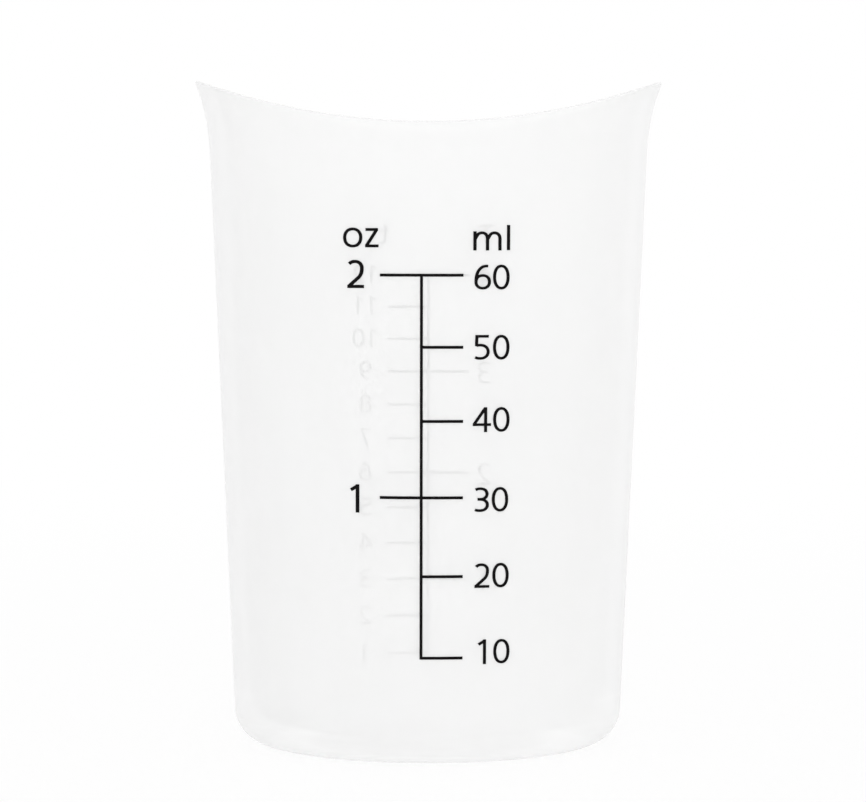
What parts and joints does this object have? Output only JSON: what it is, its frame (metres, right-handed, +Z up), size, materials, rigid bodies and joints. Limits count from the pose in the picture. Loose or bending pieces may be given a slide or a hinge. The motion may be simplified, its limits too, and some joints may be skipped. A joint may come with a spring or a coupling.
{
  "type": "measuring cup",
  "caption": "Small tapered measuring cup of translucent silicone with a saddle-shaped rim, pouring lips on two sides and printed volume scales on the front and back.",
  "frame": {"origin": "middle of the foot, on the table that the cup stands on", "axes": "+Z up, out of the mouth; the pouring lips point along +X and -X; the millilitre scale faces -Y and the spoon scale +Y"},
  "size_m": [0.0498, 0.047, 0.0708],
  "materials": {
    "silicone": "translucent white silicone, satin as moulded",
    "printing_ink": "printed black ink, matt"
  },
  "bodies": {
    "root": {"cup_body": "silicone", "front_scale_print": "printing_ink", "rear_scale_print": "printing_ink"}
  },
  "joints": []
}
